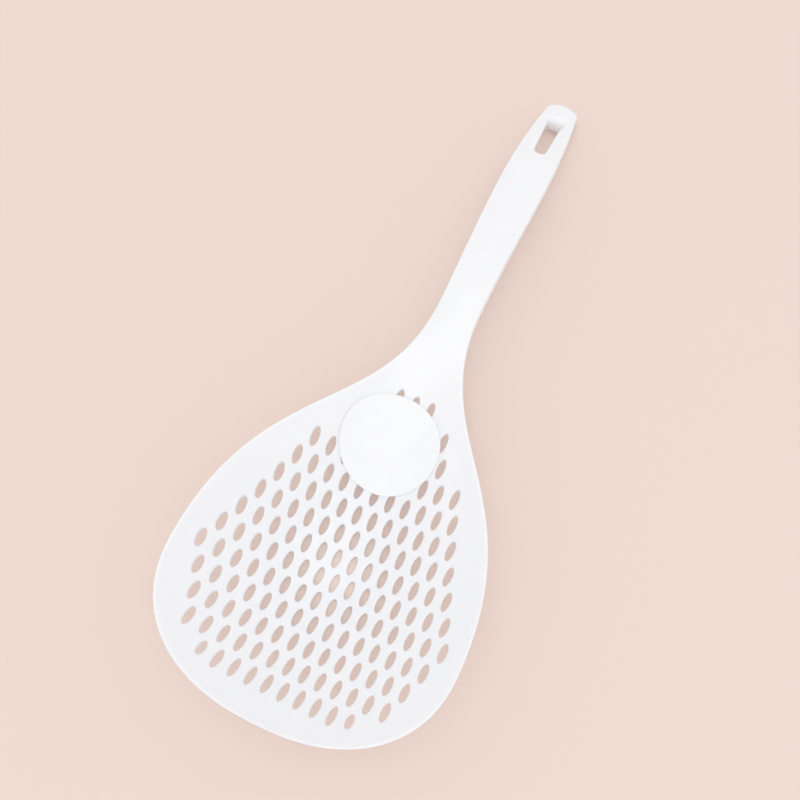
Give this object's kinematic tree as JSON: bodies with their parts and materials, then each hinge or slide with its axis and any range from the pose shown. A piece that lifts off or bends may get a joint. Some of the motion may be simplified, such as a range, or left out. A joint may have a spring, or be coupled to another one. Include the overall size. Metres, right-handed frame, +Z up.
{
  "type": "slotted spoon",
  "caption": "Deep slotted skimmer spoon: a perforated egg-shaped bowl runs through a waisted neck into an arched handle with a hanging slot, with a bare round label on the bowl.",
  "frame": {"origin": "centre of the spoon's outline on the table it lies on, with the bowl and the handle's end both touching the table", "axes": "+X across the bowl, +Y along the spoon from the bowl's tip to the handle's end, +Z up out of the bowl"},
  "size_m": [0.14, 0.346, 0.0466],
  "materials": {
    "white_plastic": "satin moulded polypropylene",
    "label_paper": "smooth coated paper"
  },
  "bodies": {
    "root": {"spoon_moulding": "white_plastic", "paper_label": "label_paper"}
  },
  "joints": []
}
